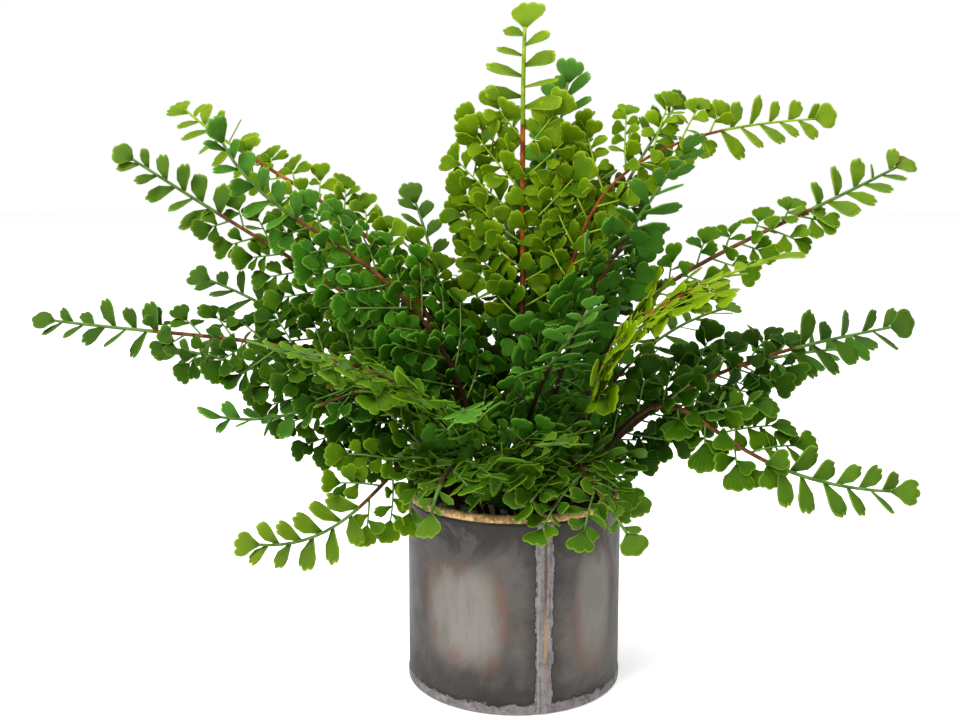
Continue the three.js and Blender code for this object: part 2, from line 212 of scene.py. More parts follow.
# %% Finish helper
class Finish:
    """A material and short ways to add nodes to it."""

    def __init__(self, name):
        self.material = bpy.data.materials.new(name)
        self.material.use_nodes = True
        self.tree = self.material.node_tree
        self.shader = self.tree.nodes["Principled BSDF"]

    def add(self, kind, inputs, **settings):
        made = self.tree.nodes.new(kind)
        for name, value in settings.items():
            setattr(made, name, value)
        for key, value in inputs.items():
            self.feed(made.inputs[key], value)
        return made

    def feed(self, socket, value):
        """Links a node's output to the socket, or sets the socket to a value."""
        if isinstance(value, bpy.types.NodeSocket):
            self.tree.links.new(value, socket)
        else:
            socket.default_value = value

    def set(self, **inputs):
        for name, value in inputs.items():
            self.feed(self.shader.inputs[name.replace("_", " ")], value)

    def place(self):
        return self.add("ShaderNodeTexCoord", {}).outputs["Object"]

    def stretched(self, place, scale):
        return self.add("ShaderNodeMapping", {"Vector": place, "Scale": scale}).outputs["Vector"]

    def parts(self, vector):
        return self.add("ShaderNodeSeparateXYZ", {"Vector": vector}).outputs

    def attribute(self, name):
        """The three parts of a vector kept on the mesh."""
        read = self.add("ShaderNodeAttribute", {}, attribute_name=name)
        return self.parts(read.outputs["Vector"])

    def noise(self, place, scale, detail, roughness=0.55, distortion=0.0):
        inputs = {"Vector": place, "Scale": scale, "Detail": detail, "Roughness": roughness,
                  "Distortion": distortion}
        return self.add("ShaderNodeTexNoise", inputs).outputs["Fac"]

    def math(self, operation, a, b=0.0, c=0.0):
        return self.add("ShaderNodeMath", {0: a, 1: b, 2: c}, operation=operation).outputs[0]

    def plus(self, a, b):
        return self.math("ADD", a, b)

    def times(self, a, b):
        return self.math("MULTIPLY", a, b)

    def times_plus(self, a, b, c):
        return self.math("MULTIPLY_ADD", a, b, c)

    def larger(self, a, b):
        return self.math("MAXIMUM", a, b)

    def push(self, value, size):
        """Noise turned to a push either way, of about that size."""
        return self.times(self.math("SUBTRACT", value, 0.5), 2 * size)

    def step(self, value, low, high):
        inputs = {"Value": value, "From Min": low, "From Max": high}
        made = self.add("ShaderNodeMapRange", inputs, interpolation_type="SMOOTHSTEP")
        return made.outputs["Result"]

    def blend(self, share, a, b):
        return self.add("ShaderNodeMix", {0: share, 6: a, 7: b}, data_type="RGBA").outputs[2]

    def coat(self, colour, top, mask, share):
        """A colour with a share of another laid over it, where the mask is 1."""
        return self.blend(self.times(mask, share), colour, top)

    def bump(self, height, distance, strength, under=None):
        inputs = {"Height": height, "Distance": distance, "Strength": strength}
        if under is not None:
            inputs["Normal"] = under
        return self.add("ShaderNodeBump", inputs).outputs["Normal"]


print("finish helper ready")

# %% [markdown]
# ## The can
# The can is a strip of sheet steel rolled to a straight cylinder and welded down one seam, with
# a round floor welded in at its foot. A lathe shape suits it: a profile from the axis, up the
# outside, over the edge and down the inside is spun once round. Many narrow steps are used, so
# that the seam and the rough weld at the foot can be pushed out of the wall by a formula.

# %% Spin a profile
CAN = dict(radius=60, wall=2.5, height=110, floor=3, rim=4.2)
STEPS_ROUND = 360
NEAR = 0.01  # closer than this, two points count as one
wall_top = CAN["height"] - CAN["rim"]
outer, inner = CAN["radius"], CAN["radius"] - CAN["wall"]


def spun(profile, steps, closed=False):
    """A bmesh turned about +Z from [radius, height] points in millimetres."""
    shape = bmesh.new()
    corners = [shape.verts.new((radius * MM, 0, height * MM)) for radius, height in profile]
    following = corners[1:] + corners[:1] if closed else corners[1:]
    for a, b in zip(corners, following):
        shape.edges.new((a, b))
    bmesh.ops.spin(
        shape, geom=shape.verts[:] + shape.edges[:], cent=(0, 0, 0), axis=(0, 0, 1),
        angle=math.tau, steps=steps, use_merge=True,
    )
    bmesh.ops.remove_doubles(shape, verts=shape.verts, dist=NEAR * MM)
    bmesh.ops.recalc_face_normals(shape, faces=shape.faces)
    return shape


print("wall from radius", inner, "to", outer, "and up to", wall_top, "mm")

# %% The can's profile
FOOT_EDGE = ((1, 0), (0.3, 0.15))  # how far in from the wall, and how high
LOW_ROWS = dict(count=10, apart=0.8)  # close rows, which carry the weld at the foot
HIGH_ROWS = 46  # wider rows, from there to the rim
INSIDE_ROW = 60  # the height of a row on the inside of the wall

low_top = LOW_ROWS["count"] * LOW_ROWS["apart"]
heights = [LOW_ROWS["apart"] * row for row in range(1, LOW_ROWS["count"] + 1)]
heights += [low_top + (wall_top - low_top) * row / HIGH_ROWS for row in range(1, HIGH_ROWS + 1)]
profile = [(0, 0)] + [(outer - inset, height) for inset, height in FOOT_EDGE]
profile += [(outer, height) for height in heights]
profile += [(inner, wall_top), (inner, INSIDE_ROW), (inner, CAN["floor"]), (0, CAN["floor"])]
can = spun(profile, STEPS_ROUND)
print("can profile of", len(profile), "points")

# %% Welds and dents
SEAM_DEGREES = 284
SEAM = dict(half=4.3, slope=1.3)
FOOT_WELD = dict(top=5.5, slope=0.8)
WELD_LIFT = 0.42


def across_seam(corner):
    """How far round the wall a point is from the seam's middle, in millimetres."""
    turn = math.atan2(corner.y, corner.x) - math.radians(SEAM_DEGREES)
    return CAN["radius"] * math.remainder(turn, math.tau)


def wall_lift(spot, aside):
    """How far the outside stands out of a true cylinder, for the seam, the weld and dents."""
    ragged = bumps((spot.z, aside, 3), size=5, push=0.9)
    seam = smooth(SEAM["half"] + ragged, SEAM["half"] - SEAM["slope"] + ragged, abs(aside))
    seam *= WELD_LIFT + bumps(spot, size=4, push=0.16)
    weld_edge = FOOT_WELD["top"] + bumps((spot.x, spot.y, 9), size=7, push=1.1)
    weld = smooth(weld_edge + FOOT_WELD["slope"], weld_edge - FOOT_WELD["slope"], spot.z)
    weld *= WELD_LIFT + bumps(spot, size=2.6, push=0.22)
    return seam + weld + bumps(spot, size=34, push=0.14)


for corner in can.verts:
    spot = corner.co / MM
    radius = math.hypot(spot.x, spot.y)
    if radius > outer - NEAR:
        lift = wall_lift(spot, across_seam(corner.co))
        corner.co += Vector((spot.x, spot.y, 0)) / radius * lift * MM
steel_can = new_object("steel_can", new_mesh("steel_can", can))
print("steel can", len(steel_can.data.polygons), "faces")

# %% [markdown]
# ## The steel's finish
# Bare mild steel that was heated, pickled and waxed has no single colour. The finish works in
# the wall's own coordinates, the way round it and the height, which are found from Object
# coordinates with an arc tangent, so a cloud can be set at a heading and a height. Five noises,
# from broad clouds to grit, are made once and shared by all that follows.

# %% Places and noises on the wall
steel = Finish("weathered_steel")
wall = steel.place()
x, y, z = steel.parts(wall)
wall_heading = steel.math("ARCTAN2", y, x)
wall_height = steel.math("DIVIDE", z, MM)
broad = steel.noise(wall, 22.0, detail=4.0, roughness=0.6)
swirls = steel.noise(wall, 30.0, detail=5.0, roughness=0.62, distortion=1.6)
wiped = steel.noise(steel.stretched(wall, (1, 1, 0.25)), 90.0, detail=5.0, roughness=0.65)
fine = steel.noise(wall, 220.0, detail=4.0, roughness=0.7)
grit = steel.noise(wall, 800.0, detail=2.0, roughness=0.6)


def round_from(degrees):
    """How far round the wall from a heading, in millimetres."""
    turn = steel.math("SUBTRACT", wall_heading, math.radians(degrees))
    turn = steel.math("WRAP", turn, math.pi, -math.pi)
    return steel.times(turn, CAN["radius"])


print("steel noises on", len(steel.tree.nodes), "nodes")

# %% [markdown]
# ### Heat tints, with a painted reflection
# Where the torch dwelt the steel is paler, in a cloud with square shoulders, and a brown ring
# round it breaks up in swirls. Each cloud is a distance from its middle, bent by noise, and steps
# cut its middle and its ring from it. The pale clouds are in part a painted reflection: two face
# the camera, and none lies where the wall turns away at its sides, which stay dark as painted
# shade. Long pale and dark wipes go over the whole wall.

# %% Clouds and heat tints
# painted reflection in part: the clouds at 241 and 315 degrees face the camera, and none lies near 0 or 180
# degrees, so the sides stay dark as painted shade
HEAT_TINTS_AND_PAINTED_REFLECTION = [  # heading in degrees, height, half width, half height, strength
    (241, 54, 22, 27, 0.9), (315, 54, 13, 32, 0.65), (32, 50, 24, 30, 0.8), (78, 58, 14, 26, 0.6),
    (112, 46, 22, 32, 0.85), (152, 56, 15, 28, 0.7),
]
TINT_SQUARENESS = 3.0
SOOT, DARK_STEEL, PALE_STEEL = paint(0x262322), paint(0x383432), paint(0x5E5955)
HEAT_PALE_AND_PAINTED_REFLECTION, HEAT_BROWN = paint(0x8C8780), paint(0x68493A)


def heat_tint(degrees, height, wide, tall, strength):
    """The masks of one tint: its pale middle, and the brown ring round it."""
    aside = steel.math("DIVIDE", round_from(degrees), wide)
    above = steel.math("DIVIDE", steel.math("SUBTRACT", wall_height, height), tall)
    apart = [steel.math("POWER", steel.math("ABSOLUTE", gap), TINT_SQUARENESS) for gap in (aside, above)]
    apart = steel.plus(steel.plus(*apart), steel.push(broad, 1.1))
    ring = steel.times(steel.step(apart, 0.2, 1.0), steel.step(apart, 2.4, 1.2))
    return steel.times(steel.step(apart, 1.9, 0.0), strength), steel.times(ring, strength)


pale_and_painted_reflection, brown = 0.0, 0.0
for tint in HEAT_TINTS_AND_PAINTED_REFLECTION:
    cloud, ring = heat_tint(*tint)
    pale_and_painted_reflection = steel.larger(pale_and_painted_reflection, cloud)
    brown = steel.larger(brown, ring)
brown = steel.times(brown, steel.step(swirls, 0.36, 0.62))
steel_colour = steel.blend(steel.step(broad, 0.25, 0.75), DARK_STEEL, PALE_STEEL)
# pale clouds: heat tint and, toward the camera, a painted reflection
steel_colour = steel.coat(steel_colour, HEAT_PALE_AND_PAINTED_REFLECTION, pale_and_painted_reflection, 0.7)
steel_colour = steel.coat(steel_colour, HEAT_BROWN, brown, 0.6)
steel_colour = steel.coat(steel_colour, DARK_STEEL, steel.step(wiped, 0.5, 0.78), 0.4)
steel_colour = steel.coat(steel_colour, PALE_STEEL, steel.step(wiped, 0.46, 0.3), 0.3)
print("steel finish with", len(HEAT_TINTS_AND_PAINTED_REFLECTION), "heat tints")

# %% [markdown]
# ### Smoke
# Soot has gathered in a dark band under the rim and a fainter one above the foot. Swirls carry
# the bands' edges up and down by a centimetre or so, and thin pale wisps run through the upper
# band.

# %% Smoke
smoke = steel.plus(wall_height, steel.push(swirls, 26.0))
wisps = steel.times(steel.step(swirls, 0.5, 0.62), steel.step(wall_height, 62.0, 84.0))
steel_colour = steel.coat(steel_colour, SOOT, steel.step(smoke, 74.0, 96.0), 0.8)
steel_colour = steel.coat(steel_colour, PALE_STEEL, wisps, 0.5)
steel_colour = steel.coat(steel_colour, SOOT, steel.step(smoke, 26.0, 9.0), 0.5)
print("steel smoked on", len(steel.tree.nodes), "nodes")

# %% [markdown]
# ### Seam and foot
# The seam and the weld at the foot were ground back to pale metal with wandering edges. The
# steel is scorched beside the seam, and both have a thin dark outline. The grinder left upright
# grooves on the seam, and spatter marks the weld.

# %% Seam and foot weld
GROUND_DULL, GROUND_BRIGHT = paint(0x5E595A), paint(0x96908E)

from_seam = steel.math("ABSOLUTE", round_from(SEAM_DEGREES))
ripple = steel.noise(steel.stretched(wall, (1, 1, 1.6)), 150.0, detail=5.0, roughness=0.7)
wander = steel.push(ripple, 2.6)
drift = steel.push(steel.noise(wall, 42.0, detail=2.0), 2.6)
scorch = steel.step(steel.plus(from_seam, steel.times(wander, 2.0)), 15.0, 4.0)
steel_colour = steel.coat(steel_colour, SOOT, scorch, 0.6)

seam_edge = steel.plus(from_seam, steel.plus(wander, drift))
foot_edge = steel.plus(wall_height, steel.times_plus(wander, 1.5, steel.push(fine, 3.0)))
outline = steel.larger(steel.step(seam_edge, 6.2, 5.2), steel.step(foot_edge, 8.2, 6.6))
steel_colour = steel.coat(steel_colour, SOOT, outline, 0.7)

on_seam = steel.step(seam_edge, 5.2, 4.6)
ground = steel.larger(on_seam, steel.step(foot_edge, 6.4, 5.0))
grooves = steel.noise(steel.stretched(wall, (1, 1, 0.06)), 700.0, detail=3.0, roughness=0.7)
spatter = steel.noise(wall, 170.0, detail=6.0, roughness=0.8, distortion=0.8)
marks = steel.times_plus(on_seam, steel.math("SUBTRACT", grooves, spatter), spatter)
shine = steel.times_plus(marks, 0.6, steel.times(fine, 0.5))
bare = steel.blend(steel.step(shine, 0.38, 0.72), GROUND_DULL, GROUND_BRIGHT)
steel_colour = steel.coat(steel_colour, bare, ground, 0.9)
pits = steel.times(steel.step(grit, 0.64, 0.72), ground)
steel_colour = steel.coat(steel_colour, SOOT, pits, 0.8)
print("seam at", SEAM_DEGREES, "degrees")

# %% [markdown]
# ### Flux, gloss and relief
# A thin streak of flux ran down the middle of the seam: tan low down, and burnt dark higher up.
# The steel is waxed, so it is satin, a little duller where it was ground, and its relief is a
# fine grit over low lumps.

# %% Flux, gloss and relief
FLUX, BURNT_FLUX = paint(0xA07E50), paint(0x4E3C2C)
FLUX_DEGREES = SEAM_DEGREES + 0.5

flux_sway = steel.times_plus(wander, 0.35, steel.push(grooves, 1.2))
from_flux = steel.math("ABSOLUTE", steel.plus(round_from(FLUX_DEGREES), flux_sway))
streak = steel.times(steel.step(from_flux, 1.2, 0.3), steel.step(smoke, 18.0, 34.0))
flux = steel.blend(steel.step(wall_height, 44.0, 66.0), FLUX, BURNT_FLUX)
steel_colour = steel.coat(steel_colour, flux, streak, 0.8)

satin = steel.times_plus(fine, 0.25, steel.times_plus(ground, 0.12, 0.42))
lumps = steel.bump(steel.times_plus(marks, ground, fine), 0.3 * MM, 0.5)
steel.set(Base_Color=steel_colour, Metallic=0.35, Roughness=satin, Specular_IOR_Level=0.2,
          Normal=steel.bump(grit, 0.08 * MM, 0.6, lumps))
steel_can.data.materials.append(steel.material)
steel_can.data.shade_smooth()
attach(steel_can, "root")
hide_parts("pot_can")
print("steel finish of", len(steel.tree.nodes), "nodes")

# %% [markdown]
# ## The brazed rim
# Brass was flowed round the top edge to seal it. It is a low rough bead, tan and gold with grey
# patches where the steel shows through. A closed loop is spun once round, and noise pushes its
# surface in and out, as a puddle of metal that froze while it ran.

# %% Rim bead
BEAD = [  # radius and height round the bead's section
    (57.6, wall_top), (60.1, wall_top), (60.45, 106.6), (60.4, 107.8), (60.1, 108.9),
    (59.4, 109.7), (58.5, 110.0), (57.7, 109.6), (57.3, 108.6), (57.3, 107.2),
]
BEAD_MIDDLE = (58.8, 107.9)
BEAD_FOOT = 0.1  # this much of the bead stays as it is, where it meets the wall

rim = spun(BEAD, STEPS_ROUND, closed=True)
for corner in rim.verts:
    spot = corner.co / MM
    lump = bumps(spot, size=2.2, push=0.3) + bumps(spot, size=7, push=0.3)
    middle = Vector((spot.x, spot.y, 0)).normalized() * BEAD_MIDDLE[0] + Vector((0, 0, BEAD_MIDDLE[1]))
    if spot.z > wall_top + BEAD_FOOT:
        corner.co += (spot - middle).normalized() * lump * MM
brazed_rim = new_object("brazed_rim", new_mesh("brazed_rim", rim))
print("brazed rim", len(brazed_rim.data.polygons), "faces")

# %% Braze finish
BRASS_DARK, BRASS_PALE, BRASS_PAINTED_HIGHLIGHT = paint(0x86683E), paint(0xB4925E), paint(0xDCC08A)
RUST, SHOWN_STEEL = paint(0x6E4424), paint(0x7C7168)


def braze_finish():
    """Tan and gold, with rust in its hollows, painted highlights in small spots and grey patches."""
    braze = Finish("braze")
    place = braze.place()
    broad = braze.noise(place, 70.0, detail=4.0, roughness=0.65)
    fine = braze.noise(place, 520.0, detail=4.0, roughness=0.7)
    patches = braze.noise(place, 34.0, detail=3.0, roughness=0.5)
    colour = braze.blend(braze.step(broad, 0.35, 0.65), BRASS_DARK, BRASS_PALE)
    colour = braze.coat(colour, RUST, braze.step(fine, 0.5, 0.62), 0.7)
    # painted highlight: small pale glints laid on by noise
    colour = braze.coat(colour, BRASS_PAINTED_HIGHLIGHT, braze.step(fine, 0.46, 0.34), 0.7)
    colour = braze.coat(colour, SHOWN_STEEL, braze.step(patches, 0.56, 0.66), 0.6)
    rough = braze.times_plus(fine, 0.35, 0.42)
    braze.set(Base_Color=colour, Metallic=0.5, Roughness=rough,
              Normal=braze.bump(fine, 0.4 * MM, 0.9))
    return braze.material


brazed_rim.data.materials.append(braze_finish())
brazed_rim.data.shade_smooth()
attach(brazed_rim, "root")
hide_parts("rim_braze")
print("braze finish ready")

# %% [markdown]
# ## The fronds' table
# Each frond is one smooth line through the air, with leaves added to it. `tone` names its green.
# It leaves the soil leaning by `lean` degrees from upright toward its heading (degrees round from
# +X), and its tip is `reach` out from the can's axis and `rise` above its underside, in
# millimetres. At the tip the line climbs at `dip` degrees and has turned sideways by `swing`.
# `spring` and `sweep` say how far the first and last directions carry, and `roll` turns the blade
# about its own line.
#
# `grown` makes all its leaves larger, `spread` makes its side branches longer, `taper` is how much
# shorter they get toward its tip, `bare` is the share of its line below the first of them, `lop`
# lengthens those on its left and shortens those on its right, and `close` sets them nearer to
# each other. `end` is the length of the stretch with single leaflets, `flare` opens them by some
# degrees more, and `stout` thickens its stalk. `fair` makes its leaves lighter, and `neat` is how
# much of the leaves' random tilt it keeps.

# %% Fronds
def frond(tone, heading, reach, rise, lean, dip, spring=0.42, sweep=0.34, swing=0, roll=0,
          grown=1.0, spread=1.0, taper=0.66, bare=0.15, lop=0.0, close=1.0, end=72, flare=0, stout=1.0,
          fair=0.0, neat=1.0):
    """One row of the table, with defaults for what most fronds share."""
    return dict(tone=tone, heading=heading, reach=reach, rise=rise, lean=lean, dip=dip, spring=spring,
                sweep=sweep, swing=swing, roll=roll, grown=grown, spread=spread, taper=taper, bare=bare,
                lop=lop, close=close, end=end, flare=flare, stout=stout, fair=fair, neat=neat)


FRONDS = [
    frond("lime", 75, 24, 379, 14, 75, sweep=0.26, grown=1.2, spread=1.25, taper=0.6,
          bare=0.38, lop=0.05, close=0.85, flare=20, stout=1.4),
    frond("blue", 65, 85, 350, 10, 60, roll=-10, grown=1.35),
    frond("lime", 8, 185, 316, 5, 2, spring=0.53, sweep=0.66, roll=58, spread=0.8, taper=0.7,
          bare=0.4, lop=0.35, stout=0.75),
    frond("deep", 44, 152, 334, 26, 47, spring=0.3, sweep=0.58, swing=-12, roll=60),
    frond("blue", 330, 104, 308, 7, 54, spring=0.5, sweep=0.43, swing=-8, roll=-22, grown=1.1),
    frond("fresh", 1, 221, 295, 6, 26, spring=0.51, sweep=0.6, swing=12, roll=50, spread=0.52,
          taper=0.25, bare=0.4),
    frond("lime", 335, 156, 250, 30, 18, spring=0.54, sweep=0.68, swing=29, roll=11, spread=0.95,
          taper=0.45, bare=0.37, close=0.5, end=56, stout=0.7, fair=0.4, neat=0.5),
    frond("mid", 25, 155, 205, 22, 5, sweep=0.36, roll=15, spread=0.8),
    frond("deep", 357, 220, 205, 30, 12, sweep=0.36, roll=50, grown=1.12, spread=0.85),
    frond("blue", 15, 225, 180, 34, 0, roll=40, spread=0.75),
    frond("mid", 334, 218, 133, 31, 2, spring=0.85, sweep=0.7, swing=22, roll=45, grown=1.1, spread=0.7,
          bare=0.42, lop=0.35),
    frond("mid", 298, 126, 105, 18, -44, spring=0.66, sweep=0.55, swing=22, roll=4, spread=1.1,
          lop=-0.3, close=0.75, end=34),
    frond("mid", 248, 119, 112, 15, -70, spring=0.45, sweep=0.5, swing=10, grown=0.9, spread=1.1, end=34),
    frond("fresh", 217, 175, 112, 26, 20, spring=0.79, sweep=0.58, swing=-21, roll=-58, spread=0.9),
    frond("deep", 183, 266, 208, 22, 9, spring=0.47, sweep=0.56, swing=3, roll=-50, spread=0.85),
    frond("deep", 168, 220, 182, 32, -2, spring=0.28, sweep=0.22, roll=-45, spread=0.9),
    frond("deep", 170, 192, 228, 40, 17, roll=-50, grown=1.1, spread=0.9),
    frond("mid", 179, 222, 301, 4, 35, spring=0.38, sweep=0.62, swing=18, roll=-60, spread=0.9),
    frond("blue", 195, 161, 315, 3, 76, spring=0.64, sweep=0.31, roll=-60),
    frond("lime", 158, 222, 329, 4, 29, spring=0.58, sweep=0.45, swing=-24, roll=-60, spread=0.68),
    frond("lime", 135, 115, 271, 20, 84, grown=0.8, spread=0.7),
    frond("deep", 140, 81, 280, 38, 62, spring=0.36, sweep=0.49, roll=-20, spread=0.9),
    frond("blue", 290, 106, 232, 6, 48, spring=0.55, sweep=0.3, grown=0.9, spread=0.9),
    frond("mid", 292, 100, 157, 10, 6, spring=0.42, sweep=0.6, swing=50, roll=16, grown=0.85,
          spread=1.1, end=40),
    frond("mid", 226, 178, 210, 14, 12, sweep=0.36, roll=-14, grown=0.95, spread=1.2, close=0.7,
          end=52, fair=0.35),
    frond("blue", 260, 135, 176, 20, -12, swing=30, roll=10, grown=0.85),
    frond("deep", 42, 96, 130, 28, -20, roll=30, end=52),
    frond("blue", 194, 174, 162, 9, 24, spring=0.9, sweep=0.54, swing=12, roll=-15, spread=0.65,
          bare=0.35, fair=-0.3),
    frond("mid", 100, 175, 218, 24, 5),
    frond("deep", 70, 190, 200, 28, -5, roll=-10),
    frond("mid", 125, 190, 180, 30, -10, roll=10),
    frond("deep", 95, 150, 130, 30, -30),
    frond("deep", 268, 96, 122, 12, -50, spring=0.5, sweep=0.5, swing=-10, grown=0.85, spread=0.9, end=40),
    frond("mid", 313, 96, 112, 16, -62, spring=0.5, sweep=0.5, swing=10, grown=0.9, spread=0.9,
          close=0.75, end=34),
]


print(len(FRONDS), "fronds")

# %% [markdown]
# ## Roots and lines
# The stalks come up side by side in the middle of the can: each starts on its own heading, those
# that reach far a little further out, and is then pushed away from its neighbours. A frond's line
# is a Bezier curve with two handles. Blender's own `interpolate_bezier` gives points along it, and
# a small class reads a point and a direction at any distance along it.

# %% Roots
SOIL_TOP = 97
ROOTS = dict(inner=5, outer=24, power=0.9, spacing=7.5, settling=200)


def direction(heading, climb):
    """The unit direction at a heading round from +X and a climb above level, in degrees."""
    turn, slope = math.radians(heading), math.radians(climb)
    level = math.cos(slope)
    return Vector((level * math.cos(turn), level * math.sin(turn), math.sin(slope)))


def root_places():
    """Where the stalks leave the soil."""
    furthest = max(one["reach"] for one in FRONDS)
    places = []
    for one in FRONDS:
        out = ROOTS["inner"] + ROOTS["outer"] * (one["reach"] / furthest) ** ROOTS["power"]
        places.append(direction(one["heading"], 0) * out)
    for _ in range(ROOTS["settling"]):
        for i, here in enumerate(places):
            for other in places[:i]:
                apart = here - other
                short = ROOTS["spacing"] - apart.length
                if short > 0:
                    push = apart.normalized() * short / 2
                    here += push
                    other -= push
    return places


places = root_places()
print("furthest root", round(max(place.length for place in places)), "mm from the axis")

# %% Lines
STEM_DEPTH = 9


class Line:
    """A Bezier curve read by distance along it."""

    def __init__(self, start, handle_1, handle_2, end, steps=90):
        self.points = interpolate_bezier(start, handle_1, handle_2, end, steps)
        self.reached = [0.0]
        for a, b in zip(self.points, self.points[1:]):
            self.reached.append(self.reached[-1] + (b - a).length)
        self.length = self.reached[-1]

    def at(self, distance):
        """The point and the direction there."""
        i = min(max(bisect(self.reached, distance), 1), len(self.points) - 1)
        a, b = self.points[i - 1], self.points[i]
        share = (distance - self.reached[i - 1]) / (self.reached[i] - self.reached[i - 1])
        return a.lerp(b, share), (b - a).normalized()


def frond_line(one, place):
    """A frond's line, from its foot in the soil to its tip."""
    start = direction(one["heading"], 90 - one["lean"])
    end = direction(one["heading"] + one["swing"], one["dip"])
    collar = Vector((place.x, place.y, SOIL_TOP))
    tip = direction(one["heading"], 0) * one["reach"] + Vector((0, 0, one["rise"]))
    chord = (tip - collar).length
    return Line(collar - start * STEM_DEPTH, collar + start * one["spring"] * chord,
                tip - end * one["sweep"] * chord, tip)


def axes(along, side_hint, roll=0.0):
    """To the blade's side, and out of its upper face."""
    side = (side_hint - along * side_hint.dot(along)).normalized()
    side.rotate(Matrix.Rotation(math.radians(roll), 3, along))
    return side, along.cross(side)


lines = [frond_line(one, place) for one, place in zip(FRONDS, places)]
print("frond lengths", [round(line.length) for line in lines])

# %% [markdown]
# ## Leaflets
# A maidenhair leaflet is a fan: it springs from a point, its sides open out and swell a little,
# and its outer edge is cut in rounded scallops. The leaflets at the tip of a frond are half fans,
# with one long straight side toward the frond's foot, and one crown leaflet ends the frond. They
# are repeated over three thousand times, so each pattern is a small grid, bent to a fan by a
# formula and given a thickness. A few patterns of each kind are enough, because every copy gets
# its own size, width and tilt.
#
# Two vectors are kept on the mesh for the finish. `leaf_place` holds the way across the fan, the
# way out from its foot, and 1 on the underside. `growth` holds a random shade, the age along the
# frond, and how far the stalk has turned green.

# %% Leaflet patterns
LEAF = dict(
    rows=3, row_power=0.8,  # how many rows of faces, and below 1, closer toward the edge
    thickness=0.035, foot_width=0.035, foot_reach=0.02,  # shares of its length
    fan_fall=2.6, half_fall=0.16, half_square=3,  # how its edge drops toward its sides
    lobe_power=0.6, opening=1.25,  # how round its lobes are, and how soon it is fully open
    cups=(-0.2, 0.28), curls=(-0.04, 0.24), skews=(-0.1, 0.1), lobes=(0.93, 1.0),  # random
)


def leaflet_pattern(kind, columns, left, right, drop, lobes, depth, waist, bulge=0.2, hand=1):
    """One leaflet of unit length, its foot at the origin, pointing along +Y and facing +Z.

    It opens from `left` to `right` degrees. `drop` shortens its sides, and `lobes` scallops of
    that depth are cut in its edge. A half fan is shortened on its right side to a straight edge
    that runs beside its axis, at a width of `drop`, with its widest place far out. With a hand
    of -1 it is mirrored. `waist` is the share of its opening that it has at the foot, and
    `bulge` the share that its sides swell by half way out, so that they run round.
    """
    shape = bmesh.new()
    bmesh.ops.create_grid(shape, x_segments=columns, y_segments=LEAF["rows"], size=0.5)
    place_layer = shape.verts.layers.float_vector.new("leaf_place")
    cup, curl = draw.uniform(*LEAF["cups"]), draw.uniform(*LEAF["curls"])
    skew = draw.uniform(*LEAF["skews"])
    lengths = [draw.uniform(*LEAF["lobes"]) for _ in range(lobes + 1)]
    for corner in shape.verts:
        u, v = corner.co.x + 0.5, corner.co.y + 0.5
        out = v ** LEAF["row_power"]
        turn = math.radians(mix(-left, right, u))
        aside = 2 * u - 1
        if kind == "half":
            square = LEAF["half_square"]
            edge = (1 + max(math.sin(turn) / drop, 0) ** square) ** (-1 / square)
            edge *= 1 - LEAF["half_fall"] * max(-aside, 0) ** 2
        else:
            edge = 1 - drop * abs(aside) ** LEAF["fan_fall"] + skew * aside
        scallop = abs(math.sin(math.pi * lobes * u)) ** LEAF["lobe_power"]
        edge *= lengths[min(int(u * lobes), lobes)] - depth * (1 - scallop) * out ** 3
        opened = mix(waist, 1.0, min(out * LEAF["opening"], 1.0)) + bulge * math.sin(math.pi * out)
        reach = mix(LEAF["foot_reach"], edge, out)
        foot = LEAF["foot_width"] * aside * (1 - out)
        corner.co = Vector((
            hand * (math.sin(turn * opened) * reach + foot),
            math.cos(turn * opened) * reach,
            cup * (math.sin(turn) * reach) ** 2 - curl * reach * reach * 0.5,
        ))
        corner[place_layer] = (u, out, 0)
    bmesh.ops.recalc_face_normals(shape, faces=shape.faces)
    if shape.faces[0].normal.z < 0:
        bmesh.ops.reverse_faces(shape, faces=shape.faces)
    upper = set(shape.verts)
    bmesh.ops.solidify(shape, geom=shape.faces[:], thickness=LEAF["thickness"])
    for corner in shape.verts:
        if corner not in upper:
            u, out, _ = corner[place_layer]
            corner[place_layer] = (u, out, 1)
    bmesh.ops.recalc_face_normals(shape, faces=shape.faces)
    shape.verts.layers.float_vector.new("growth")
    for face in shape.faces:
        face.smooth = True
    return new_mesh("pattern", shape)


def patterns(count, *recipe, **options):
    return [leaflet_pattern(*recipe, **options) for _ in range(count)]


print("a leaflet has", LEAF["rows"], "rows")

# %% [markdown]
# ### A stock of leaflets
# Side leaflets are small fans with two to four scallops. End leaflets sit at the end of a side
# branch, and crown leaflets, the widest, at the end of a frond. Half fans come in a left and a
# right hand.

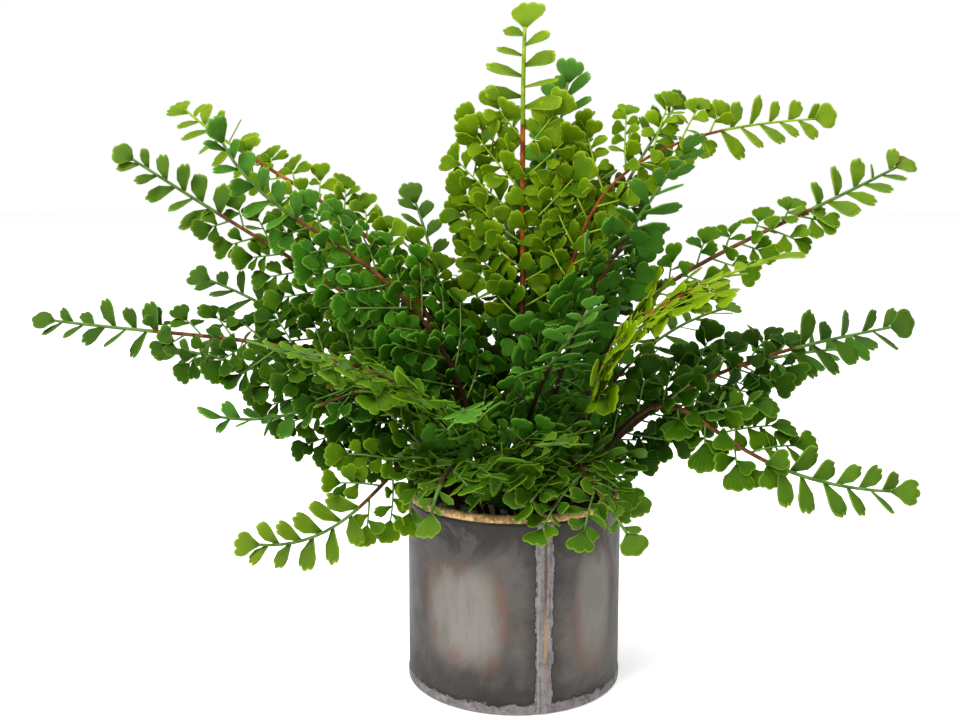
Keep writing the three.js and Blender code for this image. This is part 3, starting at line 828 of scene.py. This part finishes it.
# %% Stock of leaflets
# each row: how many, kind, columns, left, right, drop, lobes, depth
SIDE_LEAFLETS = (
    patterns(3, "fan", 8, 34, 34, 0.16, 3, 0.1, waist=0.5, bulge=0.12)
    + patterns(3, "fan", 8, 28, 38, 0.18, 2, 0.11, waist=0.45, bulge=0.15)
    + patterns(2, "fan", 8, 40, 30, 0.18, 4, 0.08, waist=0.5, bulge=0.12)
    + patterns(1, "fan", 8, 24, 24, 0.14, 2, 0.1, waist=0.5, bulge=0.2)
)
END_LEAFLETS = (
    patterns(2, "fan", 12, 42, 42, 0.13, 4, 0.07, waist=0.6)
    + patterns(2, "fan", 12, 38, 46, 0.12, 3, 0.1, waist=0.55)
    + patterns(1, "fan", 12, 34, 36, 0.12, 2, 0.1, waist=0.55)
)
CROWN_LEAFLETS = (
    patterns(1, "fan", 14, 50, 52, 0.12, 3, 0.1, waist=0.75)
    + patterns(1, "fan", 12, 42, 40, 0.08, 4, 0.06, waist=0.8)
    + patterns(1, "fan", 12, 34, 42, 0.14, 3, 0.1, waist=0.6)
)
HALF_LEAFLETS = {
    hand: patterns(2, "half", 10, 10, 29, 0.4, 4, 0.06, waist=0.7, bulge=0.34, hand=hand)
    + patterns(2, "half", 9, 12, 26, 0.38, 3, 0.07, waist=0.65, bulge=0.4, hand=hand)
    + patterns(1, "half", 9, 15, 24, 0.36, 3, 0.07, waist=0.6, bulge=0.4, hand=hand)
    for hand in (1, -1)
}
stock = [*SIDE_LEAFLETS, *END_LEAFLETS, *CROWN_LEAFLETS, *HALF_LEAFLETS[1], *HALF_LEAFLETS[-1]]
print("leaflet faces", [len(pattern.polygons) for pattern in stock])

# %% [markdown]
# ## Stalks
# The stalks are round and taper. A straight cone is made and cut across in rings, and each ring
# is then carried to its place on a line. The main stalk has six sides and the side stalks five,
# which is round enough for wires of one to four millimetres.

# %% Stalk helper
STALK = dict(
    foot=1.5, shoulder=1.05, tip=0.75,  # radii of the main stalk
    pinna=(0.62, 0.45), short=(0.6, 0.5), side_sides=5,  # radii and sides of the others
)


def stalk_mesh(line, side_hint, stretch, radii, greens, age, sides, rings):
    """A tapering stalk along a stretch of a line; each pair is a value at its two ends."""
    shape = bmesh.new()
    bmesh.ops.create_cone(shape, cap_ends=True, segments=sides, radius1=1, radius2=1, depth=1)
    long_edges = [e for e in shape.edges if abs(e.verts[0].co.z - e.verts[1].co.z) > 0.5]
    bmesh.ops.subdivide_edges(shape, edges=long_edges, cuts=rings - 1)
    shape.verts.layers.float_vector.new("leaf_place")
    growth = shape.verts.layers.float_vector.new("growth")
    for corner in shape.verts:
        x, y, z = corner.co
        share = z + 0.5
        point, along = line.at(mix(*stretch, share))
        side, up = axes(along, side_hint)
        corner.co = point + (side * x + up * y) * mix(*radii, share)
        corner[growth] = (0.5, age, mix(*greens, share))
    for face in shape.faces:
        face.smooth = len(face.verts) == 4
        face.material_index = 1
    return new_mesh("stalk", shape)


def add_stalk(blade, line, side_hint, **recipe):
    """Adds a stalk to a frond."""
    mesh = stalk_mesh(line, side_hint, **recipe)
    blade.from_mesh(mesh)
    bpy.data.meshes.remove(mesh)


print("stalks from", 2 * STALK["pinna"][1], "mm")

# %% [markdown]
# ## Adding a leaflet
# Leaflets are copies of the patterns: each copy is moved to its place with one matrix and added
# to the frond's mesh. Each kind has a row of its own. `size` is its length, and `taper` how that
# changes from the foot of the frond to its tip. `leans` is its angle from the stalk at the two
# ends, and `sway` how far that varies. `sizes`, `widths` and `shades` are ranges of random draws,
# and `pitch` and `turn` say how much it tips about its two axes.

# %% Kinds of leaflets
SIDE = dict(size=12.2, taper=(1.02, 0.92), sizes=(0.78, 1.14), widths=(0.7, 1.1), shades=(-0.3, 0.3),
            leans=(66, 46), sway=8, first=7.0, last=1.5, pitch=17, turn=28)
CROSSING = dict(size=12.2, taper=(1, 1), sizes=(0.85, 1.05), leans=(35, 85), pitch=14, turn=24,
                above=0.6, beside=3, stalk=3.5)
END = dict(size=13.8, taper=(1.05, 0.9), sizes=(0.9, 1.08), pitch=12, turn=18, overlap=0.3)
HALF = dict(size=20.5, taper=(1.0, 0.66), sizes=(0.88, 1.08), widths=(0.75, 1.12), shades=(0.3, 0.8),
            leans=(72, 48), sway=6, slat=24, narrower=0.008, last=1, pitch=12, turn=20)
CROWN = dict(size=15.5, sizes=(0.8, 0.98, 0.88), shade=0.6, pitch=8, turn=16)


def add_leaflet(blade, pattern, foot, along, face, length, shade, age, wide=1.0):
    """Adds a leaflet to a frond: its foot, the way it points and the way its upper face looks."""
    y = along.normalized()
    x = y.cross(face).normalized()
    z = x.cross(y)
    leaf = pattern.copy()
    matrix = Matrix((x, y, z)).transposed().to_4x4()
    size = Matrix.Diagonal((length * wide, length, length, 1))
    leaf.transform(Matrix.Translation(foot) @ matrix @ size)
    leaf.attributes["growth"].data.foreach_set("vector", (shade, age, 0.0) * len(leaf.vertices))
    blade.from_mesh(leaf)
    bpy.data.meshes.remove(leaf)


def tilted(one, along, face, kind):
    """The two directions after random tips of the leaflet up or down and about its own axis."""
    side = along.cross(face)
    pitch = math.radians(draw.gauss(0, kind["pitch"]) * one["neat"])
    up_or_down = Matrix.Rotation(pitch, 3, side)
    along, face = up_or_down @ along, up_or_down @ face
    turn = math.radians(draw.gauss(0, kind["turn"]) * one["neat"])
    return along, Matrix.Rotation(turn, 3, along) @ face


def leaflet_length(one, kind, share):
    """A random length for a leaflet of this kind, at a share of the way to the frond's tip."""
    return one["grown"] * kind["size"] * mix(*kind["taper"], share) * draw.uniform(*kind["sizes"])


def spread_out(forward, across, degrees):
    """The direction that leans by some degrees from forward to across."""
    lean = math.radians(degrees)
    return forward * math.cos(lean) + across * math.sin(lean)


print("leaflet lengths", [kind["size"] for kind in (SIDE, CROSSING, END, HALF, CROWN)], "mm")

# %% [markdown]
# ## Side branches
# A side branch leaves the main stalk at an angle and bends toward the frond's tip. It carries
# leaflets in turn on its two sides and one at its end. Half of the branches also have a leaflet
# over the main stalk, on a short stalk of its own, so that the stalk doesn't lie bare.
#
# The place where a branch springs is called a bud here. It holds the branch's root, the way along
# the main stalk, to its side and up from it, the hand of 1 or -1 on which the branch lies, its
# age, and its zone, which is 0 at the lowest branch and nearly 1 at the highest. The branch leaves
# at `angle`, `narrower` toward the frond's tip. Its end is `reach` of its length away and
# `onward` along the main stalk, and hangs by `droop` and a random tilt. The branches are `spacing`
# apart, a pair of leaflets takes `pair`, and `clear` is left free at the root.

# %% A side branch's line
PINNA = dict(length=47, lengths=(0.9, 1.1), lowest=0.7, growing=4, angle=56, sway=7, narrower=8,
             tilts=(-0.25, 0.2), reach=0.95, onward=0.12, droop=5, bare_end=0.8, spacing=8.8,
             pair=8.2, clear=4, crossing=0.5, green=(0.55, 1.0))


def pinna_line(one, bud):
    """A side branch's line, shorter near the frond's two ends, and the way to its side."""
    grown = mix(PINNA["lowest"], 1.0, min(bud.zone * PINNA["growing"], 1))
    length = PINNA["length"] * one["spread"] * (1 - one["taper"] * bud.zone ** 3)
    length *= draw.uniform(*PINNA["lengths"])
    length *= (1 + one["lop"] * bud.hand) * grown
    angle = PINNA["angle"] + draw.uniform(-PINNA["sway"], PINNA["sway"]) - PINNA["narrower"] * bud.zone
    out = spread_out(bud.along, bud.side * bud.hand, angle)
    tilt = draw.uniform(*PINNA["tilts"])
    middle = bud.root + out * 0.5 * length
    end = bud.root + out * PINNA["reach"] * length + bud.along * PINNA["onward"] * length
    end += bud.up * (length * tilt - PINNA["droop"])
    handles = [point.lerp(middle, 2 / 3) for point in (bud.root, end)]
    return Line(bud.root, *handles, end, steps=14), bud.up.cross(out)


print("side branches of", PINNA["length"], "mm every", PINNA["spacing"], "mm")

# %% Side branches
def add_crossing(blade, one, bud, green, tone_shift):
    """A leaflet over the main stalk, on the side away from the branch."""
    point = spread_out(bud.along, -bud.side * bud.hand, draw.uniform(*CROSSING["leans"]))
    point, face = tilted(one, point, bud.up, CROSSING)
    foot = bud.root + bud.up * (STALK["foot"] + CROSSING["above"]) + bud.side * bud.hand * CROSSING["beside"]
    length = leaflet_length(one, CROSSING, 0)
    add_leaflet(blade, draw.choice(SIDE_LEAFLETS), foot, point, face, length, 0.5 + tone_shift, bud.age)
    add_stalk(blade, Line(bud.root, bud.root, foot, foot + point, steps=3), bud.side,
              stretch=(0, CROSSING["stalk"]), radii=STALK["short"], greens=(green, 1.0), age=bud.age,
              sides=STALK["side_sides"], rings=2)


def add_pinna(blade, one, bud, tone_shift):
    """A side branch with leaflets in turn on its two sides and one at its end."""
    branch, side_hint = pinna_line(one, bud)
    stem_length = branch.length - END["size"] * PINNA["bare_end"]
    green = mix(*PINNA["green"], bud.zone)
    add_stalk(blade, branch, side_hint, stretch=(0, stem_length), radii=STALK["pinna"],
              greens=(green, 1.0), age=bud.age, sides=STALK["side_sides"], rings=4)
    count = 2 * max(1, round((stem_length - PINNA["clear"]) / PINNA["pair"]))
    for i in range(count):
        foot, forward = branch.at(mix(SIDE["first"], stem_length - SIDE["last"], (i + 0.5) / count))
        across, face = axes(forward, side_hint)
        hand = 1 if i % 2 else -1
        lean = mix(*SIDE["leans"], i / count) + draw.uniform(-SIDE["sway"], SIDE["sway"])
        point, face = tilted(one, spread_out(forward, across * hand, lean), face, SIDE)
        length = leaflet_length(one, SIDE, bud.zone)
        shade = min(max(0.5 + tone_shift + draw.uniform(*SIDE["shades"]), 0), 1)
        wide = draw.uniform(*SIDE["widths"])
        add_leaflet(blade, draw.choice(SIDE_LEAFLETS), foot, point, face, length, shade, bud.age, wide)
    crossed = draw.random() < PINNA["crossing"]
    if crossed:
        add_crossing(blade, one, bud, green, tone_shift)
    foot, forward = branch.at(stem_length - END["overlap"])
    _, face = axes(forward, side_hint)
    point, face = tilted(one, forward, face, END)
    length = leaflet_length(one, END, bud.zone)
    add_leaflet(blade, draw.choice(END_LEAFLETS), foot, point, face, length, 0.5 + tone_shift, bud.age)
    return count + crossed + 1


print("a pair of leaflets every", PINNA["pair"], "mm of a side branch")

# %% [markdown]
# ## Frond tips
# The last stretch has no side branches. It carries single half fans on both sides, turned a
# little on their own axes as the slats of a blind, and the crown leaflet at its end. A short
# stretch has smaller leaflets.

# %% Frond tips
TIP = dict(spacing=5.6, fewest=4, shortest=30, longest=72, smallest=0.6, ages=(0.75, 1.0),
           crown_foot=0.95, stalk_end=0.9)


def add_tip(blade, number, one, line, side_hint, tip_from):
    """The last stretch: half fans on both sides, shorter toward the end, and the crown leaflet."""
    last = line.length - CROWN["size"] * TIP["crown_foot"]
    count = max(TIP["fewest"], round((last - tip_from) / TIP["spacing"]))
    full = min((one["end"] - TIP["shortest"]) / (TIP["longest"] - TIP["shortest"]), 1)
    for i in range(count):
        share = (i + 0.5) / count
        foot, forward = line.at(mix(tip_from, last - HALF["last"], share))
        side, face = axes(forward, side_hint, one["roll"])
        hand = 1 if i % 2 else -1
        lean = mix(*HALF["leans"], share) + one["flare"] + draw.uniform(-HALF["sway"], HALF["sway"])
        point, face = tilted(one, spread_out(forward, side * hand, lean), face, HALF)
        face = Matrix.Rotation(math.radians(hand * HALF["slat"]), 3, point) @ face
        length = leaflet_length(one, HALF, share ** 1.5) * mix(TIP["smallest"], 1.0, full)
        pattern = draw.choice(HALF_LEAFLETS[hand])
        wide = draw.uniform(*HALF["widths"]) - HALF["narrower"] * one["flare"]
        shade = draw.uniform(*HALF["shades"]) + one["fair"]
        age = mix(*TIP["ages"], share)
        add_leaflet(blade, pattern, foot, point, face, length, shade, age, wide)
    foot, forward = line.at(last)
    _, face = axes(forward, side_hint, one["roll"])
    point, face = tilted(one, forward, face, CROWN)
    length = one["grown"] * CROWN["size"] * CROWN["sizes"][number % 3]
    add_leaflet(blade, CROWN_LEAFLETS[number % 3], foot, point, face, length, CROWN["shade"], TIP["ages"][1])
    return count + 1


print("half fans every", TIP["spacing"], "mm")

# %% [markdown]
# ## Whole fronds
# The foot of a frond is bare. Above it side branches spring left and right in turn, and then the
# tip follows. The main stalk is made in two lengths, a thick brown one and a thin one that turns
# green. All of a frond is one mesh, which is made in millimetres and scaled to metres at the end.

# %% Whole fronds
BROWN_STALK = dict(greens=(0.0, 0.1), age=0.3, sides=6, rings=20)
GREEN_STALK = dict(greens=(0.1, 3.0), age=0.8, sides=6, rings=10)
STALK_JOIN = dict(past=3, overlap=1)  # how far past the last side branch it lies
BLADE = dict(tones=(-0.12, 0.12), ages=(0.1, 0.75))


def add_main_stalk(blade, one, line, side_hint, tip_from):
    """The main stalk, in two lengths that overlap a little."""
    foot, shoulder, end = [one["stout"] * STALK[part] for part in ("foot", "shoulder", "tip")]
    join = tip_from + STALK_JOIN["past"]
    top = line.length - CROWN["size"] * TIP["stalk_end"]
    add_stalk(blade, line, side_hint, stretch=(0, join), radii=(foot, shoulder), **BROWN_STALK)
    add_stalk(blade, line, side_hint, stretch=(join - STALK_JOIN["overlap"], top),
              radii=(shoulder, end), **GREEN_STALK)


def make_frond(number, one, line):
    """The mesh of a frond, and how many leaflets it has."""
    blade = bmesh.new()
    for name in ("leaf_place", "growth"):
        blade.verts.layers.float_vector.new(name)
    side_hint = direction(one["heading"] + 90, 0)
    tip_from = line.length - one["end"]
    bare = one["bare"] * line.length
    add_main_stalk(blade, one, line, side_hint, tip_from)
    count = round((tip_from - bare) / (PINNA["spacing"] * one["close"]))
    tone_shift = draw.uniform(*BLADE["tones"]) + one["fair"]
    leaflets = 0
    for i in range(count):
        root, along = line.at(mix(bare, tip_from, (i + 0.5) / count))
        side, up = axes(along, side_hint, one["roll"])
        bud = SimpleNamespace(root=root, along=along, side=side, up=up, zone=i / count,
                              hand=1 if (i + number) % 2 else -1, age=mix(*BLADE["ages"], i / count))
        leaflets += add_pinna(blade, one, bud, tone_shift)
    leaflets += add_tip(blade, number, one, line, side_hint, tip_from)
    bmesh.ops.scale(blade, vec=(MM, MM, MM), verts=blade.verts)
    return new_mesh("frond", blade), leaflets


total = 0
fronds = []
for number, (one, line) in enumerate(zip(FRONDS, lines), 1):
    mesh, leaflets = make_frond(number, one, line)
    piece = new_object(f"fern_frond_{number:02d}", mesh)
    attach(piece, "root")
    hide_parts(f"frond_{number:02d}")
    fronds.append((one["tone"], piece))
    total += leaflets
for pattern in stock:
    bpy.data.meshes.remove(pattern)
print(total, "leaflets,", sum(len(piece.data.polygons) for _, piece in fronds), "faces")

# %% [markdown]
# ## Leaf finish
# The leaflets are moulded and printed: satin green with a paler rim, fine veins that fan out
# from the foot, a duller underside, and here and there a brown stain. Each frond has one of five
# greens, and its leaves are lighter and a little dusty toward its tip. The darkening of the inner
# leaves is partly their print and partly painted shade, as they lie deep in the plant, and their
# pale rims are painted fainter there too. A little light comes through a thin leaf, so some of a
# Translucent shader is mixed in.

# %% Leaf finish
VEINS = 9
LIGHT_THROUGH = 0.18
STAIN, DUSTY = paint(0x6E4012), paint(0x5C684C)
TONES = {  # dark green, light green, rim and underside
    "lime": (0x2E5400, 0x749203, 0x9EB622, 0x647E10),
    "fresh": (0x205000, 0x688406, 0x8EAE28, 0x50800E),
    "mid": (0x184000, 0x507406, 0x80A02C, 0x427010),
    "deep": (0x0E3000, 0x406404, 0x648C22, 0x305C0C),
    "blue": (0x103C00, 0x40780E, 0x76A438, 0x42781E),
}


def leaf_colour(leaf, place, on_leaf, cloudy, vein, greens):
    """A leaf's green, from its random shade, its age and the place on it; low ages get painted shade."""
    deep, bright, rim, under = [paint(green) for green in greens]
    across, out, underside = on_leaf
    shade, age, _ = leaf.attribute("growth")
    light = leaf.times_plus(cloudy, 0.55, leaf.times_plus(shade, 0.6, -0.6))
    # painted shade in part: a low age, deep in the plant, makes the green darker
    light = leaf.times_plus(out, 0.24, leaf.times_plus(age, 0.5, light))
    off_middle = leaf.math("ABSOLUTE", leaf.math("SUBTRACT", across, 0.5))
    edge = leaf.larger(leaf.step(out, 0.88, 1.0), leaf.step(off_middle, 0.42, 0.5))
    stains = leaf.step(leaf.noise(place, 55.0, detail=3.0), 0.7, 0.76)

    colour = leaf.blend(leaf.step(light, 0.0, 1.0), deep, bright)
    colour = leaf.coat(colour, rim, vein, 0.1)
    # painted shade: the pale rim is fainter on the inner leaves
    colour = leaf.coat(colour, rim, edge, leaf.times_plus(age, 0.5, 0.3))
    colour = leaf.coat(colour, STAIN, stains, 0.6)
    colour = leaf.coat(colour, under, underside, 0.6)
    return leaf.coat(colour, DUSTY, leaf.step(age, 0.5, 1.0), 0.12)


def leaf_finish(tone, greens):
    """A satin skin with raised veins, through which a little light comes."""
    leaf = Finish("leaf_" + tone)
    place, on_leaf = leaf.place(), leaf.attribute("leaf_place")
    across, out, _ = on_leaf
    waves = leaf.math("SINE", leaf.times(across, math.tau * VEINS))
    vein = leaf.times(leaf.step(waves, 0.55, 1.0), leaf.step(out, 0.0, 0.3))
    cloudy = leaf.noise(place, 90.0, detail=2.0)
    colour = leaf_colour(leaf, place, on_leaf, cloudy, vein, greens)
    ribbed = leaf.bump(vein, 0.1 * MM, 0.2)
    leaf.set(Base_Color=colour, Roughness=leaf.times_plus(cloudy, 0.2, 0.4),
             Specular_IOR_Level=0.045, Normal=ribbed)
    glow = leaf.add("ShaderNodeBsdfTranslucent", {"Color": colour, "Normal": ribbed})
    shaders = {0: LIGHT_THROUGH, 1: leaf.shader.outputs[0], 2: glow.outputs[0]}
    both = leaf.add("ShaderNodeMixShader", shaders)
    leaf.feed(leaf.tree.nodes["Material Output"].inputs["Surface"], both.outputs[0])
    return leaf.material


leaf_paints = {tone: leaf_finish(tone, greens) for tone, greens in TONES.items()}
print("leaf finishes", list(leaf_paints))

# %% [markdown]
# ## Stalk finish
# The stalks are red brown at the foot and turn green toward the tip, by the `growth` kept on the
# mesh. Deep in the plant their brown is darker, a painted shade set by the distance from the
# plant's heart. The stalks of the lime fronds are redder, and their green is lighter.

# %% Stalk finish
PLANT_HEART = (0, 0, 0.12)
SHADED_BROWN = paint(0x2A1A0E)
STALK_COLOURS = {  # dark brown, light brown, dull green and light green
    "lime": (0x5A2808, 0x8E4A12, 0x627C12, 0x88A028),
    "other": (0x3C2410, 0x6E4420, 0x38561C, 0x5C7A36),
}


def stalk_finish(tone):
    """Mottled brown that turns green, with a fine grain along it."""
    stalk = Finish("stalk_" + tone)
    place = stalk.place()
    _, _, green = stalk.attribute("growth")
    mottle = stalk.noise(place, 160.0, detail=3.0)
    colours = STALK_COLOURS["lime" if tone == "lime" else "other"]
    dark_brown, light_brown, dull_green, light_green = [paint(colour) for colour in colours]
    # painted shade: the brown darkens toward the plant's heart, where the stalks lie in shade
    heart = stalk.add("ShaderNodeVectorMath", {0: place, 1: PLANT_HEART}, operation="DISTANCE")
    outside = stalk.step(heart.outputs["Value"], 0.07, 0.14)
    brown = stalk.blend(stalk.step(mottle, 0.35, 0.7), dark_brown, light_brown)
    brown = stalk.blend(outside, SHADED_BROWN, brown)
    fresh = stalk.blend(stalk.step(mottle, 0.3, 0.7), dull_green, light_green)
    turned = stalk.step(stalk.times_plus(mottle, 0.25, green), 0.2, 0.5)
    grain = stalk.noise(stalk.stretched(place, (1, 1, 0.3)), 900.0, detail=2.0)
    stalk.set(Base_Color=stalk.blend(turned, brown, fresh), Specular_IOR_Level=0.1,
              Roughness=stalk.times_plus(mottle, 0.3, 0.4),
              Normal=stalk.bump(grain, 0.15 * MM, 0.5))
    return stalk.material


stalk_paints = {tone: stalk_finish(tone) for tone in TONES}
for tone, piece in fronds:
    piece.data.materials.append(leaf_paints[tone])
    piece.data.materials.append(stalk_paints[tone])
print("finishes on", len(fronds), "fronds")

# %% [markdown]
# ## Potting soil and moss
# The can is filled to a finger's width below its rim with dark soil. Its top is a spun profile
# whose points are lifted by noise, strewn with crumbs, which are small balls squashed and turned
# at random, and with low cushions of dried moss.

# %% Soil
SOIL = dict(gap=0.3, edge=93, slope=54, flat=50, rings=3, steps=120, sunk=0.6, crumbs_sunk=0.4)

soil_radius, soil_bottom = inner - SOIL["gap"], CAN["floor"] + SOIL["gap"]
filling = spun([
    (0, soil_bottom), (soil_radius, soil_bottom), (soil_radius, SOIL["edge"]),
    (SOIL["slope"], SOIL["edge"] + 1),
    *[(radius, SOIL_TOP) for radius in range(SOIL["flat"], 0, -SOIL["rings"])], (0, SOIL_TOP),
], SOIL["steps"])
for corner in filling.verts:
    spot = corner.co / MM
    if spot.z > SOIL["edge"] + 0.5:
        lift = bumps((spot.x, spot.y, 2), size=9, push=1.6) + bumps((spot.x, spot.y, 5), size=3, push=0.8)
        corner.co.z += (lift - SOIL["sunk"]) * MM
print("soil", len(filling.faces), "faces")

# %% Crumbs and moss
CRUMBS = dict(count=320, radius=53, sizes=(0.8, 2.2), squash=0.7, finish=0)
MOSS = dict(count=90, radius=52, sizes=(2.0, 4.5), squash=0.45, finish=1)


def scatter(shape, count, radius, sizes, squash, finish):
    """Small balls over the soil, squashed and turned, all in one mesh."""
    for _ in range(count):
        out, turn = radius * math.sqrt(draw.random()), draw.uniform(0, math.tau)
        size = draw.uniform(*sizes) * MM
        height = SOIL_TOP - SOIL["crumbs_sunk"]
        place = Vector((out * math.cos(turn), out * math.sin(turn), height)) * MM
        matrix = Matrix.Translation(place) @ Matrix.Rotation(draw.uniform(0, math.tau), 4, "Z")
        matrix @= Matrix.Diagonal((size, size * draw.uniform(0.6, 1), size * squash, 1))
        made = bmesh.ops.create_icosphere(shape, subdivisions=1, radius=1, matrix=matrix)
        faces = {face for corner in made["verts"] for face in corner.link_faces}
        for face in faces:
            face.material_index = finish


scatter(filling, **CRUMBS)
scatter(filling, **MOSS)
potting_soil = new_object("soil_and_moss", new_mesh("soil_and_moss", filling))
print("soil and moss", len(potting_soil.data.polygons), "faces")

# %% Soil finish
def soil_finish(name, dark, light, scale):
    """A coarse mix of two colours with a rough, crumbly surface."""
    soil = Finish(name)
    place = soil.place()
    coarse = soil.noise(place, scale, detail=5.0, roughness=0.7)
    fine = soil.noise(place, scale * 5, detail=3.0, roughness=0.7)
    colour = soil.blend(soil.step(coarse, 0.35, 0.7), paint(dark), paint(light))
    soil.set(Base_Color=colour, Roughness=0.95, Normal=soil.bump(fine, 0.8 * MM, 0.9))
    return soil.material


potting_soil.data.materials.append(soil_finish("soil", 0x1E1712, 0x4A382A, scale=260.0))
potting_soil.data.materials.append(soil_finish("dried_moss", 0x2E3A16, 0x66702E, scale=420.0))
potting_soil.data.shade_smooth()
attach(potting_soil, "root")
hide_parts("potting_soil")
print("soil finished with", len(potting_soil.data.materials), "materials")

# %% [markdown]
# ## Sizes and the end
# The dressed model is meant to keep the frame's size, and both boxes are printed side by side.

# %% Finish
bpy.context.view_layer.update()
sizes = {"frame": frame_box, "visual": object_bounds()}
sizes = {name: [list(corner) for corner in box] for name, box in sizes.items()}
print(sizes)
